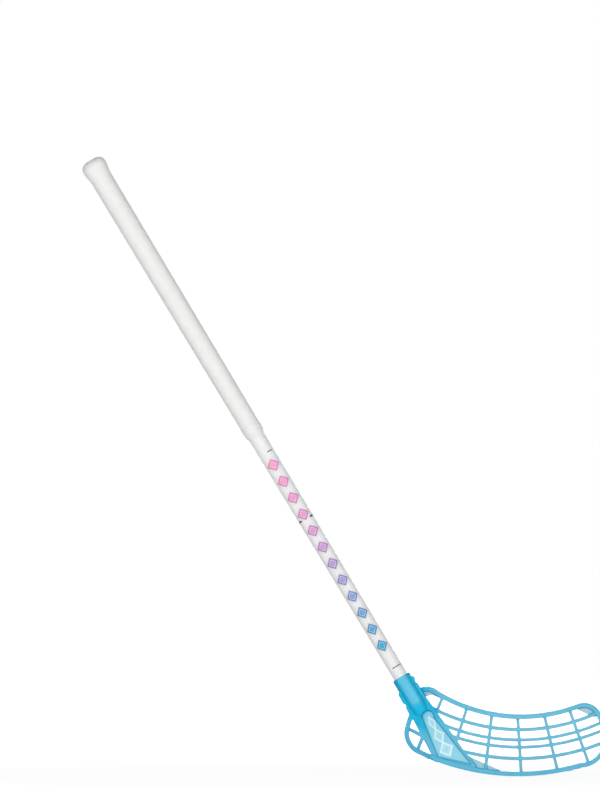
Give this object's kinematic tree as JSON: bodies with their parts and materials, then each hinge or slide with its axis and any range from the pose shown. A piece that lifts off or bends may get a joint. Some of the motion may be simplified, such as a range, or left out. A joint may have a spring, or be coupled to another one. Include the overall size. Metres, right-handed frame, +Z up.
{
  "type": "floorball stick",
  "caption": "Floorball stick in playing pose: tapered white shaft with a wound grip and knob, and a curved, translucent blue lattice blade glued on by its socket.",
  "frame": {"origin": "on the shaft's axis, in the middle of the grip, where a hand or holder takes the stick", "axes": "+Z up in playing pose with the blade's lower edge on the floor, +X along the blade from heel to toe, +Y towards the blade's hollow side"},
  "size_m": [0.768, 0.0472, 0.9064],
  "materials": {
    "shaft_lacquer": "white lacquer over composite, satin gloss",
    "cap_plastic": "moulded, matte",
    "cushion_tape": "soft white cushion tape, matte",
    "band_film": "stretched finishing tape, satin",
    "hot_melt": "clear hot-melt film",
    "blade_plastic": "translucent cyan-blue moulding, satin gloss"
  },
  "bodies": {
    "root": {"shaft_tube": "shaft_lacquer", "butt_cap": "cap_plastic", "grip_tape": "cushion_tape", "grip_finish_band": "band_film", "socket_glue": "hot_melt", "blade": "blade_plastic"}
  },
  "joints": []
}
